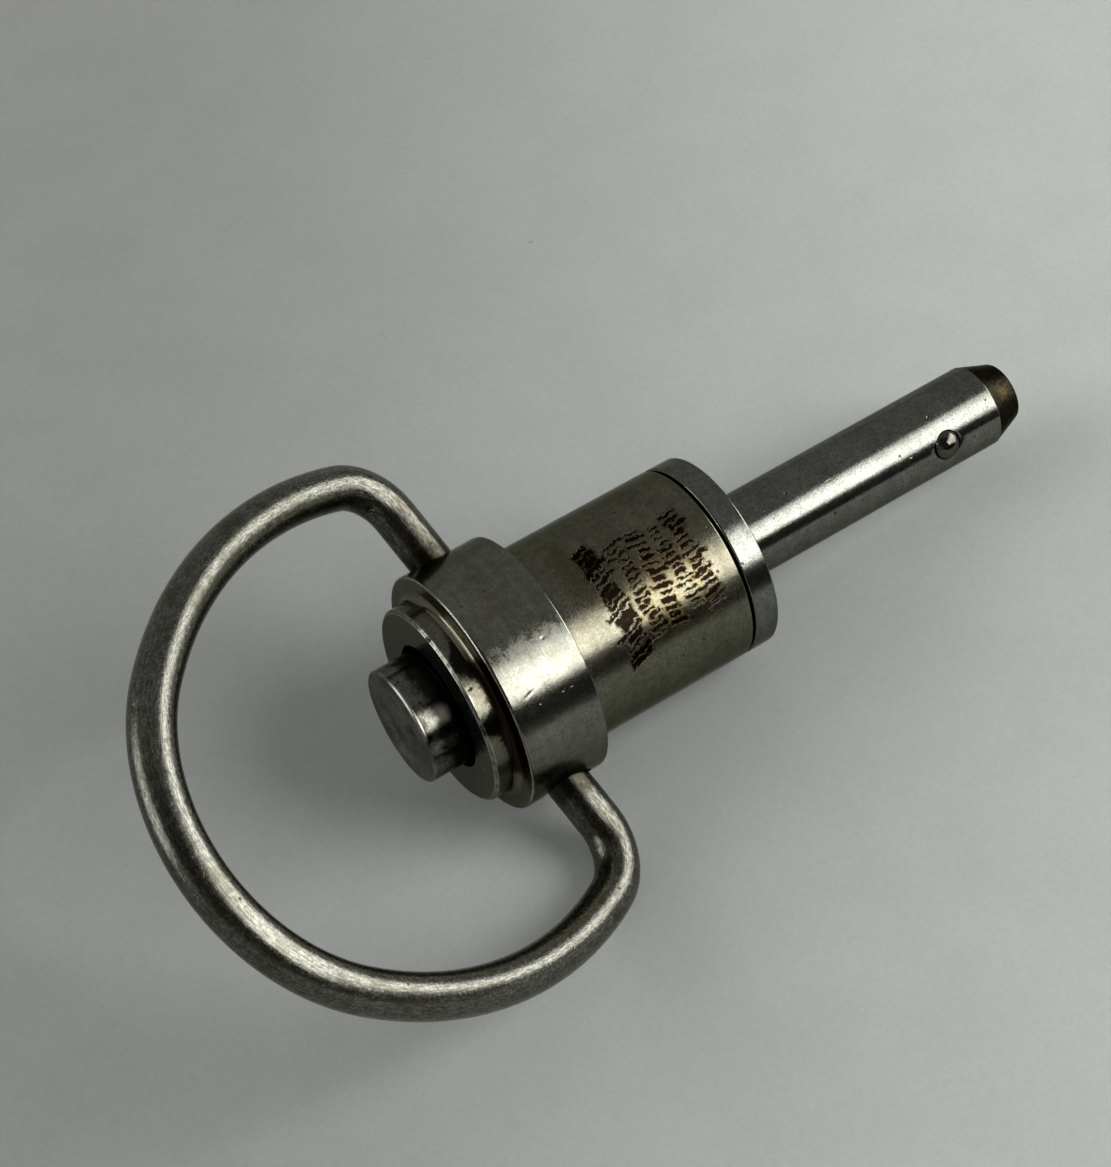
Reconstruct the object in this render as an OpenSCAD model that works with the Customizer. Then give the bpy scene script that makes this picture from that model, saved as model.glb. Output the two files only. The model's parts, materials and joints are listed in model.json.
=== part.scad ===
// Quick release pin: a ball lock pin with a push button and a swinging wire ring.
// Every piece is drawn in the pin's own frame. There the shank points along +X from the
// flange's seat face at the origin, the ring's hinge lies along Y, and Z is the third way.
// lay() then turns the finished piece to the way the pin lies on a table, still about the
// origin: the collar's and the flange's rims and one corner of the ring touch the table.

/* [Shank] */
// Diameter of the shank that goes into the hole
shank_d = 6.35; // [6.2:0.05:6.5]
// Length of the shank's plain cylinder, from the seat face to the nose
shank_len = 23.45; // [22:0.05:30]
// Length of the nose's cone
nose_len = 2.5; // [1.5:0.1:3.5]
// Diameter of the nose's flat end
nose_end_d = 4.5; // [3.6:0.1:5.6]
// Thickness of the flange at the head of the shank
flange_t = 1.95; // [1.5:0.05:2.6]
// Length of the spigot that plugs the back of the barrel
spigot_len = 6.8; // [5:0.1:8]

/* [Lock balls] */
// Diameter of each lock ball
ball_d = 2.38; // [2.3:0.01:2.45]
// Distance of the balls from the seat face
ball_x = 18.7; // [17:0.05:19.5]
// How far a locked ball stands out of the shank
ball_proud = 0.55; // [0.4:0.05:0.6]
// How far a ball sinks when the button is pressed home
ball_sink = 0.6; // [0.55:0.01:0.62]
// Angle of the first ball round the shank, from Z towards the hinge's near end
ball_turn = 35.5; // [0:0.5:90]

/* [Barrel and collar] */
// Outer diameter of the barrel and of the flange
barrel_d = 14.8; // [14.4:0.1:15.6]
// Length of the barrel
barrel_len = 21.35; // [20.5:0.05:22.5]
// Gap between the back of the barrel and the flange
barrel_gap = 0.35; // [0.2:0.05:0.5]
// Diameter of the hole that the button comes out of
button_hole_d = 9.4; // [9.1:0.1:9.8]
// Thickness of the barrel's front wall, which stops the button
front_wall = 2.2; // [1.8:0.1:2.4]
// Diameter of the barrel's main bore
bore_d = 11.4; // [11.2:0.1:11.8]
// Outer diameter of the collar
collar_d = 18.1; // [17.6:0.1:19]
// Length of the collar
collar_len = 6.4; // [5.8:0.1:7]
// How far the barrel stands out in front of the collar
boss_len = 1.65; // [1.2:0.05:2]
// Diameter of the holes in the collar that the ring's ends go into
ring_hole_d = 4; // [3.8:0.1:4.4]

/* [Button and spindle] */
// Diameter of the button
button_d = 8.6; // [8.2:0.1:8.8]
// How far the button stands out of the barrel
button_proud = 3; // [2.8:0.1:3.6]
// How far the button can be pressed
button_travel = 2.5; // [2.4:0.05:2.55]
// Diameter of the spindle's land, which holds the balls out
land_d = 2.5; // [2.44:0.02:2.5]
// Diameter of the spindle's neck, which lets the balls in
neck_d = 1.4; // [1.3:0.02:1.44]
// Diameter of the cross pin that joins the button and the spindle
cross_pin_d = 1; // [0.8:0.1:1.1]

/* [Return spring] */
// Mean diameter of the coils
spring_d = 8; // [7.6:0.1:8.4]
// Diameter of the spring's wire
spring_wire_d = 0.7; // [0.6:0.05:0.8]
// Number of turns
spring_turns = 6; // [5:1:7]

/* [Ring handle] */
// Diameter of the ring's wire
wire_d = 3.2; // [3:0.05:3.3]
// Angle by which each end of the wire is bent askew outside its hole
wire_skew = 11.7; // [10.5:0.1:12.5]
// Straight length of the wire's far end between the askew bend and the corner
far_leg = 4.66; // [4.4:0.02:5]
// Straight length of the wire's near end between the askew bend and the corner
near_leg = 3.89; // [3.6:0.02:4.2]
// Radius of the wire's two corners
corner_r = 4.27; // [4:0.01:4.6]
// Radius of the ring's near side
near_side_r = 25.7; // [25:0.1:26.4]
// Swing of the ring from the line of the shank
ring_swing = 29.5; // [20:0.5:40]

/* [Lie on the table] */
// Roll of the pin about the shank's line
lie_roll = 29.3; // [29.1:0.1:29.5]

/* [Hidden] */
$fn = 96;

slide_gap = 0.05;        // radial clearance of everything that slides or swings
press_gap = 0.01;        // radial clearance of what is pressed together
stop_gap = 0.05;         // clearance at an end stop
edge_break = 0.15;       // small chamfer that takes off a sharp edge

barrel_back = -(flange_t + barrel_gap);
barrel_front = barrel_back - barrel_len;
collar_front = barrel_front + boss_len;
collar_back = collar_front + collar_len;
collar_bevel = 0.34;     // wide bevel at the collar's front rim
hinge_x = -18.55;        // where the ring's hinge crosses the shank's line

bore_in_shank_d = land_d + 2 * slide_gap;
bore_end = 24;           // end of the spindle's bore, inside the nose
spigot_d = bore_d - 2 * press_gap;
spigot_front = -(flange_t + spigot_len);

ball_r = ball_d / 2;
ball_centre = shank_d / 2 + ball_proud - ball_r;
ball_hole_d = ball_d + 2 * 0.04;
lip_d = 2.32;            // the mouth's lip, which keeps the ball from falling out
lip_depth = 0.27;        // depth of the lip below the shank's surface
mouth_d = 2.7;           // the mouth at the surface

button_face = barrel_front - button_proud;
button_rim_d = bore_d - 0.6;
button_rim_t = 1.2;
button_rim_x = barrel_front + front_wall + stop_gap;
button_rim_back = button_rim_x + button_rim_t;
hub_d = 6;
hub_len = 2.6;
hub_end = button_rim_back + hub_len;
cross_pin_x = hub_end - 1.2;
cross_pin_len = hub_d - 0.3;

spindle_front = button_face + 2;
spindle_end = 20.7;
cam_slope = ball_sink / button_travel;
cam_front = 0.1;         // length of land left under a locked ball
cam_len = (land_d - neck_d) / 2 / cam_slope;
neck_len = 0.6;
neck_ramp = 0.8;

spring_front = button_rim_back + 0.1;
spring_back = spigot_front - 0.1;
spring_sides = 8;
spring_steps = 20;       // rings of points in each turn

stub_depth = 6.1;        // distance of the ring's two ends from the shank's line
stub_len = 1.3;          // straight end inside the barrel's wall
kink_r = 5;              // radius of the askew bend
step_lap = 0.05;         // how far each step of the wire runs into the next
step_thinning = 0.02;    // every second step is thinner, so that no two skins coincide

// The wire's turns, in order from its far end to its near end, all in one plane.
far_corner = 72.7;
far_side = 49.4;
crown = 103.2;
near_side = 53.6;
near_corner = 360 - far_corner - far_side - crown - near_side;

// Chord of a right-hand bend of unit radius that starts at heading h and turns by a degrees
function chord(h, a) = [sin(h) - sin(h - a), cos(h - a) - cos(h)];
function heading(h) = [cos(h), sin(h)];
// The radii of the far side and the crown are the two that bring the wire home
h_far_leg = 180 - wire_skew;
h_far_side = h_far_leg - far_corner;
h_crown = h_far_side - far_side;
h_near_side = h_crown - crown;
h_near_corner = h_near_side - near_side;
h_near_leg = h_near_corner - near_corner;
ends_run = 2 * stub_len * heading(180)
    + kink_r * chord(180, wire_skew)
    - kink_r * chord(h_near_leg, -wire_skew);
fixed_run = ends_run + far_leg * heading(h_far_leg) + near_leg * heading(h_near_leg)
    + corner_r * chord(h_far_leg, far_corner)
    + corner_r * chord(h_near_corner, near_corner)
    + near_side_r * chord(h_near_side, near_side);
still_to_go = [2 * stub_depth, 0] - fixed_run;
c_far = chord(h_far_side, far_side);
c_crown = chord(h_crown, crown);
det = c_far.x * c_crown.y - c_far.y * c_crown.x;
far_side_r = (still_to_go.x * c_crown.y - still_to_go.y * c_crown.x) / det;
crown_r = (c_far.x * still_to_go.y - c_far.y * still_to_go.x) / det;

// The pin lies on the collar's back rim and the flange's seat rim
lie_tilt = atan2((collar_d - barrel_d) / 2, -collar_back);

module lay() rotate([0, lie_tilt, 0]) rotate([lie_roll, 0, 0]) children();

// A solid of revolution about the X axis, from [x, radius] points
module turn_profile(points) {
    rotate([0, 90, 0]) rotate_extrude() polygon([for (p = points) [p[1], p[0]]]);
}

module radial_hole(d, r0, r1) translate([0, 0, r0]) cylinder(d = d, h = r1 - r0);

module ball_pocket() {
    surface_r = shank_d / 2;
    radial_hole(ball_hole_d, 0, surface_r - lip_depth);
    radial_hole(lip_d, 0, surface_r + 1);
    translate([0, 0, surface_r - lip_depth + 0.07])
        cylinder(d1 = lip_d, d2 = mouth_d, h = lip_depth);
}

// Places its children at each ball in turn: 0 is the near one, 1 the far one
module at_ball(i) translate([ball_x, 0, 0]) rotate([ball_turn + 180 * i, 0, 0]) children();

module shank() {
    r = shank_d / 2;
    flange_r = barrel_d / 2;
    bore_r = bore_in_shank_d / 2;
    color("silver") lay() difference() {
        turn_profile([
            [spigot_front, bore_r],
            [spigot_front, spigot_d / 2 - edge_break],
            [spigot_front + edge_break, spigot_d / 2],
            [-flange_t, spigot_d / 2],
            [-flange_t, flange_r - edge_break],
            [-flange_t + edge_break, flange_r],
            [-edge_break, flange_r],
            [0, flange_r - edge_break],
            [0, r],
            [shank_len, r],
            [shank_len + nose_len, nose_end_d / 2],
            [shank_len + nose_len, 0],
            [bore_end + 0.6, 0],
            [bore_end, bore_r],
        ]);
        for (i = [0, 1]) at_ball(i) ball_pocket();
    }
}

module barrel() {
    r = barrel_d / 2;
    hole_r = button_hole_d / 2;
    bore_r = bore_d / 2;
    color("gainsboro") lay() difference() {
        turn_profile([
            [barrel_front, hole_r + edge_break],
            [barrel_front, r - 0.25],
            [barrel_front + 0.25, r],
            [barrel_back - edge_break, r],
            [barrel_back, r - edge_break],
            [barrel_back, bore_r],
            [barrel_front + front_wall, bore_r],
            [barrel_front + front_wall, hole_r],
            [barrel_front + edge_break, hole_r],
        ]);
        translate([hinge_x, 0, 0]) rotate([90, 0, 0])
            cylinder(d = wire_d + 2 * slide_gap, h = barrel_d + 2, center = true);
    }
}

module collar() {
    r = collar_d / 2;
    bore_r = barrel_d / 2 + press_gap;
    color("lightgray") lay() difference() {
        turn_profile([
            [collar_front, bore_r],
            [collar_front, r - collar_bevel],
            [collar_front + collar_bevel, r],
            [collar_back - edge_break, r],
            [collar_back, r - edge_break],
            [collar_back, bore_r],
        ]);
        translate([hinge_x, 0, 0]) rotate([90, 0, 0])
            cylinder(d = ring_hole_d, h = collar_d + 2, center = true);
    }
}

module button() {
    r = button_d / 2;
    rim_r = button_rim_d / 2;
    bevel = 0.35;
    socket_r = land_d / 2 + press_gap;
    color("darkgray") lay() difference() {
        turn_profile([
            [button_face, 0],
            [button_face, r - bevel],
            [button_face + bevel, r],
            [button_rim_x, r],
            [button_rim_x, rim_r],
            [button_rim_back, rim_r],
            [button_rim_back, hub_d / 2],
            [hub_end, hub_d / 2],
            [hub_end, socket_r],
            [spindle_front - 0.1, socket_r],
            [spindle_front - 0.1, 0],
        ]);
        translate([cross_pin_x, 0, 0])
            cylinder(d = cross_pin_d + 2 * press_gap, h = hub_d + 1, center = true);
    }
}

module spindle() {
    land_r = land_d / 2;
    neck_r = neck_d / 2;
    cam_x = ball_x - cam_front;
    neck_x = cam_x - cam_len;
    ramp_x = neck_x - neck_len;
    color("slategray") lay() difference() {
        turn_profile([
            [spindle_front, 0],
            [spindle_front, land_r - edge_break],
            [spindle_front + edge_break, land_r],
            [ramp_x - neck_ramp, land_r],
            [ramp_x, neck_r],
            [neck_x, neck_r],
            [cam_x, land_r],
            [spindle_end - 0.3, land_r],
            [spindle_end, land_r - 0.3],
            [spindle_end, 0],
        ]);
        translate([cross_pin_x, 0, 0])
            cylinder(d = cross_pin_d + 2 * press_gap, h = land_d + 1, center = true);
    }
}

module cross_pin() {
    color("dimgray") lay() translate([cross_pin_x, 0, 0])
        cylinder(d = cross_pin_d, h = cross_pin_len, center = true);
}

// Share of the spring's length reached at turn t: the first and last turns lie closed
function spring_rise(t) =
    let (closed = spring_wire_d * 1.05, open = spring_back - spring_front - spring_wire_d)
    t < 1 ? closed * t
    : t > spring_turns - 1 ? open - closed * (spring_turns - t)
    : closed + (open - 2 * closed) * (t - 1) / (spring_turns - 2);

module return_spring() {
    rings = spring_turns * spring_steps;
    wire_r = spring_wire_d / 2;
    x0 = spring_front + wire_r;
    points = [for (i = [0:rings]) let (t = i / spring_steps, a = 360 * t)
        for (j = [0:spring_sides - 1])
            let (b = 360 * j / spring_sides, rho = spring_d / 2 + wire_r * cos(b))
            [x0 + spring_rise(t) + wire_r * sin(b), rho * cos(a), rho * sin(a)]];
    skin = [for (i = [0:rings - 1]) for (j = [0:spring_sides - 1])
        let (k = (j + 1) % spring_sides, a = i * spring_sides, b = a + spring_sides)
        [a + j, b + j, b + k, a + k]];
    first = [for (j = [0:spring_sides - 1]) j];
    last = [for (j = [spring_sides - 1:-1:0]) rings * spring_sides + j];
    color("gray") lay() polyhedron(points, concat(skin, [first], [last]), convexity = 8);
}

module lock_ball(i) {
    color("whitesmoke") lay() at_ball(i) translate([0, 0, ball_centre]) sphere(d = ball_d);
}

// The wire's steps in order: [length, 0] runs straight and [radius, angle] bends to the
// right, or to the left where the angle is negative
wire_steps = [
    [stub_len, 0], [kink_r, wire_skew], [far_leg, 0], [corner_r, far_corner],
    [far_side_r, far_side], [crown_r, crown], [near_side_r, near_side],
    [corner_r, near_corner], [near_leg, 0], [kink_r, -wire_skew], [stub_len, 0],
];
// How far a step that starts at heading h carries the wire
function step_run(s, h) =
    s[1] == 0 ? s[0] * heading(h) : sign(s[1]) * s[0] * chord(h, s[1]);
// Where each step starts, as [x, y, heading]
function step_starts(i, at) =
    i == len(wire_steps) ? []
    : let (run = step_run(wire_steps[i], at[2]))
      concat([at], step_starts(i + 1, [at[0] + run[0], at[1] + run[1], at[2] - wire_steps[i][1]]));

// One step of the wire, lapped a little into its neighbours at both ends
module wire_step(s, d) {
    side = s[1] < 0 ? -1 : 1;
    turn = abs(s[1]);
    if (turn == 0)
        translate([-step_lap, 0, 0]) rotate([0, 90, 0]) cylinder(d = d, h = s[0] + 2 * step_lap);
    else {
        lap = step_lap / s[0] * 180 / PI;
        translate([0, -side * s[0], 0]) rotate([0, 0, (side > 0 ? 90 - turn : -90) - lap])
            rotate_extrude(angle = turn + 2 * lap) translate([s[0], 0]) circle(d = d);
    }
}

module ring_handle() {
    starts = step_starts(0, [-stub_depth, 0, 180]);
    color("silver") lay() translate([hinge_x, 0, 0]) rotate([0, ring_swing, 0])
        rotate([0, 0, -90]) rotate([180, 0, 0])
        for (i = [0:len(wire_steps) - 1])
            translate([starts[i][0], starts[i][1], 0]) rotate([0, 0, starts[i][2]])
                wire_step(wire_steps[i], wire_d - step_thinning * (i % 2));
}

shank();
barrel();
collar();
ring_handle();
button();
spindle();
cross_pin();
return_spring();
lock_ball(0);  // lock_ball_near
lock_ball(1);  // lock_ball_far
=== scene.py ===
import json
import math

import bmesh
import bpy
from mathutils import Matrix, Vector


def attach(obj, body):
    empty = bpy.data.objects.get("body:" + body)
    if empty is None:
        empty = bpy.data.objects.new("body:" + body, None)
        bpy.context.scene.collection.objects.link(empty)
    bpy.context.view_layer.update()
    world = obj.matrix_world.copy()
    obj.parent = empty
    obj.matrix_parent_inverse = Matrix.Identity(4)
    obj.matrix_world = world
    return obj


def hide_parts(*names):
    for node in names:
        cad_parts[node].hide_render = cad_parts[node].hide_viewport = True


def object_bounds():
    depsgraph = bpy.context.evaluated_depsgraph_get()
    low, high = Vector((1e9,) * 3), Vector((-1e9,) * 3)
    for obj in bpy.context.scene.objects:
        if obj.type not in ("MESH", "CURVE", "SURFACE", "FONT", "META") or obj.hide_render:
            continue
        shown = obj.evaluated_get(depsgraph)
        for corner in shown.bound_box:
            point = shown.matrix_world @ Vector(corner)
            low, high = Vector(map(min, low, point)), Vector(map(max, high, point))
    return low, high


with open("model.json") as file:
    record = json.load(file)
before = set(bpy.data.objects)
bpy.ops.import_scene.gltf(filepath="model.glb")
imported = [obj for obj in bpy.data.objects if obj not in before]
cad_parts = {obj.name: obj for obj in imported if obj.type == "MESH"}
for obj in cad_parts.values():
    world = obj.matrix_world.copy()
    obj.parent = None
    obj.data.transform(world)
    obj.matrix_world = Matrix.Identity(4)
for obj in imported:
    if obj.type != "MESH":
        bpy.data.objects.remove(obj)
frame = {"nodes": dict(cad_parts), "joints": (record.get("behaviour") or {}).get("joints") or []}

cad_low, cad_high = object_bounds()

# The pin's own frame: x along the shank from the seat face, y along the ring's hinge,
# z the third way. Sizes below are in millimetres in that frame, and angles round the pin
# are in degrees from z towards the hinge's near end, which is -y.
MM = 0.001
JOINTS = {joint["name"]: joint for joint in frame["joints"]}
PIN_X = Vector(JOINTS["button_press"]["axis"]).normalized()
PIN_Y = Vector(JOINTS["ring_swing"]["axis"]).normalized()
PIN_Z = PIN_X.cross(PIN_Y)
PIN = Matrix((PIN_X, PIN_Y, PIN_Z)).transposed().to_4x4()
LAID_DOWN = PIN @ Matrix.Scale(MM, 4)
HINGE_X = Vector(JOINTS["ring_swing"]["pos_m"]).dot(PIN_X) / MM


def reach(name):
    """Where a node starts and ends along the pin, and its greatest radius."""
    corners = [vertex.co / MM for vertex in frame["nodes"][name].data.vertices]
    along = [corner.dot(PIN_X) for corner in corners]
    radii = [(corner - PIN_X * x).length for corner, x in zip(corners, along)]
    return min(along), max(along), max(radii)


SPIGOT_FRONT, NOSE_END, FLANGE_R = reach("shank")
BARREL_FRONT, BARREL_BACK, BARREL_R = reach("barrel")
COLLAR_FRONT, COLLAR_BACK, COLLAR_R = reach("collar")
COLLAR_R -= 0.01  # keeps the finer collar inside the solid's outline
BUTTON_FACE, HUB_END, BUTTON_RIM_R = reach("button")

SHANK_R = 3.175
SHANK_END = NOSE_END - 2.5
NOSE_END_R = 2.25
SPINDLE_BORE_R = 1.3
SPINDLE_BORE_END = 24
FLANGE_FRONT = -1.95
SPIGOT_R = 5.69
BORE_R = 5.7
BUTTON_HOLE_R = 4.7
FRONT_WALL = 2.2
BUTTON_R = 4.3
BUTTON_RIM_X = BARREL_FRONT + FRONT_WALL + 0.05
BUTTON_RIM_BACK = BUTTON_RIM_X + 1.2
HUB_R = 3
CROSS_PIN_X = HUB_END - 1.2
BALL_X = 18.7
BALL_R = 1.19
BALL_TURN = 35.5
BALL_CENTRE = 2.535
WIRE_R = 1.588
RING_SWING = 29.5

ROUND = 384
SHARP = math.radians(32)
WEAR_WIDTH = 0.13
UV_LENGTH = 100
UV_TURN = 20


# == Turned pieces ==
def eased(profile, closed):
    """The profile with each corner rounded to its own small radius, with even steps along
    the straight runs. Each point is (x, radius, corner radius)."""
    arc_steps = 4
    support = 0.025  # keeps the flats flat up to a rounded corner
    longest = 0.4
    count = len(profile)
    points = []
    for i, (x, r, ease) in enumerate(profile):
        here = Vector((x, r))
        inner = closed or 0 < i < count - 1
        if ease == 0 or not inner:
            points.append(here)
            continue
        before = Vector(profile[i - 1][:2])
        after = Vector(profile[(i + 1) % count][:2])
        back = (before - here).normalized()
        ahead = (after - here).normalized()
        half = math.acos(max(-1, min(1, back.dot(ahead)))) / 2
        cut = ease / math.tan(half)
        middle = here + (back + ahead).normalized() * (ease / math.sin(half))
        start = (here + back * cut - middle).normalized()
        end = (here + ahead * cut - middle).normalized()
        points.append(here + back * (cut + support))
        for step in range(arc_steps + 1):
            points.append(middle + start.slerp(end, step / arc_steps) * ease)
        points.append(here + ahead * (cut + support))
    spaced = []
    for i, point in enumerate(points):
        spaced.append(point)
        if i == len(points) - 1 and not closed:
            break
        run = points[(i + 1) % len(points)] - point
        steps = math.ceil(run.length / longest)
        for step in range(1, steps):
            spaced.append(point + run * step / steps)
    return spaced


def turned(profile, closed=True, segments=ROUND):
    """A solid of revolution about x, in millimetres. An open profile ends on the axis."""
    made = bmesh.new()
    rings = []
    for x, r in eased(profile, closed):
        if r < 1e-6:
            rings.append([made.verts.new((x, 0, 0))])
            continue
        turn = [2 * math.pi * i / segments for i in range(segments)]
        rings.append([made.verts.new((x, -r * math.sin(a), r * math.cos(a))) for a in turn])
    pairs = list(zip(rings, rings[1:]))
    if closed:
        pairs.append((rings[-1], rings[0]))
    for one, two in pairs:
        for i in range(segments):
            k = (i + 1) % segments
            corners = [one[i % len(one)], two[i % len(two)], two[k % len(two)], one[k % len(one)]]
            made.faces.new(list(dict.fromkeys(corners)))
    bmesh.ops.recalc_face_normals(made, faces=made.faces)
    return made


def around(x, angle, radius):
    """A point at a place along the pin, an angle round it and a distance from its axis."""
    a = math.radians(angle)
    return Vector((x, -radius * math.sin(a), radius * math.cos(a)))


def strike(made, place, width, depth, length=None, lean=0):
    """Presses a small smooth dent into the surface at a place, as a knock leaves it. Its
    length runs along the pin, turned by lean degrees in the surface."""
    length = length or width
    out = Vector((0, place.y, place.z)).normalized()
    normal = min(made.faces, key=lambda face: (face.calc_center_median() - place).length).normal
    along = Matrix.Rotation(math.radians(lean), 3, normal) @ Vector((1, 0, 0))
    along = along - normal * along.dot(normal)
    along = along.normalized() if along.length > 0.1 else out
    across = normal.cross(along)
    finer_within = max(width, length) * 1.3
    dent_within = max(width, length) * 1.5
    longest = min(width, length) / 5
    for _ in range(2):
        near = [f for f in made.faces if (f.calc_center_median() - place).length < finer_within]
        near = [f for f in near if len(f.verts) == 4]
        long_edges = {e for f in near for e in f.edges if e.calc_length() > longest}
        bmesh.ops.subdivide_edges(made, edges=list(long_edges), cuts=1, use_grid_fill=True)
    for vertex in made.verts:
        step = vertex.co - place
        if step.length > dent_within:
            continue
        u = step.dot(along) / length * 2
        v = step.dot(across) / width * 2
        vertex.co -= normal * depth * math.exp(-2 * (u * u + v * v))


def in_scene(name, data):
    """A new object in the scene that holds the data."""
    made = bpy.data.objects.new(name, data)
    bpy.context.scene.collection.objects.link(made)
    return made


def cut_out(piece, cutter_mesh):
    """Takes the cutter away from the piece."""
    cutter = in_scene("cutter", cutter_mesh)
    boolean = piece.modifiers.new("cut", "BOOLEAN")
    boolean.operation = "DIFFERENCE"
    boolean.solver = "EXACT"
    boolean.object = cutter
    graph = bpy.context.evaluated_depsgraph_get()
    result = bpy.data.meshes.new_from_object(piece.evaluated_get(graph))
    piece.modifiers.clear()
    piece.data = result
    bpy.data.objects.remove(cutter)


def mesh_of(made, name):
    """The finished mesh."""
    mesh = bpy.data.meshes.new(name)
    made.to_mesh(mesh)
    made.free()
    return mesh


def rod(profile, start, direction):
    """A turned cutter whose axis leaves start in a direction."""
    made = turned(profile, closed=False, segments=96)
    turn = Vector((1, 0, 0)).rotation_difference(direction).to_matrix().to_4x4()
    made.transform(Matrix.Translation(start) @ turn)
    return mesh_of(made, "cutter")


def cross_hole(x, diameter, length, direction):
    """A plain hole across the pin, with its middle on the axis."""
    r = diameter / 2
    end = length / 2
    profile = [(-end, 0, 0), (-end, r, 0), (end, r, 0), (end, 0, 0)]
    return rod(profile, Vector((x, 0, 0)), Vector(direction))


def finish_piece(made, name, edges, node, body, material, holes):
    """Cuts the holes, marks the edges that wear, lays out the surface, turns the piece to
    the way it lies and gives it its body and its material."""
    piece = in_scene(name, mesh_of(made, name))
    for hole in holes:
        cut_out(piece, hole)
    mesh = piece.data
    mesh.set_sharp_from_angle(angle=SHARP)
    mark_edges(mesh, edges)
    lay_out(mesh)
    mesh.transform(LAID_DOWN)
    mesh.materials.clear()
    mesh.materials.append(material)
    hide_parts(node)
    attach(piece, body)


def mark_edges(mesh, edges):
    """Writes how near each point is to a worn edge, from 0 to 1. An edge is (x, radius)."""
    worn = mesh.attributes.new("worn_edge", "FLOAT", "POINT")
    for vertex, value in zip(mesh.vertices, worn.data):
        x = vertex.co.x
        r = math.hypot(vertex.co.y, vertex.co.z)
        gap = min((math.hypot(x - ex, r - er) for ex, er in edges), default=WEAR_WIDTH)
        value.value = max(0, 1 - gap / WEAR_WIDTH)


def lay_out(mesh):
    """Lays the surface out with u along the turned profile and v round the pin, so that the
    finish has a direction."""
    layer = mesh.uv_layers.new(name="turning")
    for polygon in mesh.polygons:
        middle = polygon.center
        centre_turn = math.atan2(-middle.y, middle.z)
        for corner in polygon.loop_indices:
            point = mesh.vertices[mesh.loops[corner].vertex_index].co
            r = math.hypot(point.y, point.z)
            turn = math.atan2(-point.y, point.z) if r > 1e-4 else centre_turn
            if turn - centre_turn > math.pi:
                turn -= 2 * math.pi
            if centre_turn - turn > math.pi:
                turn += 2 * math.pi
            layer.data[corner].uv = ((point.x + r) / UV_LENGTH, turn / UV_TURN + 0.5)


# == Node helpers ==
def feed(socket, value):
    """Joins a socket to another, or sets it to a plain value."""
    if isinstance(value, bpy.types.NodeSocket):
        socket.id_data.links.new(value, socket)
    elif socket.type == "RGBA":
        socket.default_value = (*value, 1)
    else:
        socket.default_value = value


def add(tree, kind, **settings):
    """A new node with its settings."""
    made = tree.nodes.new(kind)
    for name, value in settings.items():
        setattr(made, name, value)
    return made


def beside(values, kind, **settings):
    """A new node in the same tree as the sockets among the values."""
    socket = next(value for value in values if isinstance(value, bpy.types.NodeSocket))
    return add(socket.id_data, kind, **settings)


def fed(made, *values):
    """Feeds a node's first inputs in turn. Gives its first output."""
    for socket, value in zip(made.inputs, values):
        feed(socket, value)
    return made.outputs[0]


def sums(operation, *values):
    """One step of arithmetic on numbers."""
    return fed(beside(values, "ShaderNodeMath", operation=operation), *values)


def product(first, *others):
    """The numbers multiplied together."""
    for other in others:
        first = sums("MULTIPLY", first, other)
    return first


def total(first, *others):
    """The numbers added up."""
    for other in others:
        first = sums("ADD", first, other)
    return first


def less(one, two):
    """The first number less the second."""
    return sums("SUBTRACT", one, two)


def apart(one, two):
    """How far apart two numbers are."""
    return sums("ABSOLUTE", less(one, two))


def diagonal(run, rise):
    """The length of a slope from its run and its rise."""
    square = total(sums("POWER", run, 2), sums("POWER", rise, 2))
    return sums("SQRT", square)


def times(vector, scale):
    """A vector with each part multiplied by its own number."""
    return fed(beside([vector], "ShaderNodeVectorMath", operation="MULTIPLY"), vector, scale)


def dot(vector, direction):
    """How far a vector reaches in a direction."""
    made = beside([vector], "ShaderNodeVectorMath", operation="DOT_PRODUCT")
    fed(made, vector, direction)
    return made.outputs["Value"]


def joined(*parts):
    """A vector made of its parts."""
    return fed(beside(parts, "ShaderNodeCombineXYZ"), *parts)


def parted(value, kind="XYZ"):
    """The three parts of a vector or a colour."""
    made = beside([value], "ShaderNodeSeparate" + kind)
    fed(made, value)
    return list(made.outputs)


def grade(value, low, high, to_low=0, to_high=1):
    """Turns the stretch from low to high smoothly into to_low to to_high."""
    made = beside([value], "ShaderNodeMapRange", interpolation_type="SMOOTHSTEP")
    for name, number in (("Value", value), ("From Min", low), ("From Max", high),
                         ("To Min", to_low), ("To Max", to_high)):
        feed(made.inputs[name], number)
    return made.outputs["Result"]


def vary(noise, least, most):
    """Spreads a noise, which hardly leaves 0.3 to 0.7, over the values from least to most."""
    return grade(noise, 0.3, 0.7, least, most)


def cloudy(point, scale, detail, roughness):
    """Cloudy noise from 0 to 1."""
    made = beside([point], "ShaderNodeTexNoise")
    for name, value in (("Vector", point), ("Scale", scale), ("Detail", detail),
                        ("Roughness", roughness)):
        feed(made.inputs[name], value)
    return made.outputs["Fac"]


def drift(point, scale, roughness, amount=1):
    """Cloudy noise to both sides of 0, multiplied by an amount."""
    return product(less(cloudy(point, scale, 4, roughness), 0.5), amount)


def tint(share, below, above, blend="MIX"):
    """A colour laid over another by a share."""
    values = (share, below, above)
    made = beside(values, "ShaderNodeMix", data_type="RGBA", blend_type=blend)
    for i, value in zip((0, 6, 7), values):
        feed(made.inputs[i], value)
    return made.outputs[2]


def shaded(colour, shade):
    """A colour multiplied by a number."""
    grey = fed(beside([shade], "ShaderNodeCombineColor"), shade, shade, shade)
    return tint(1.0, colour, grey, "MULTIPLY")


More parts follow.
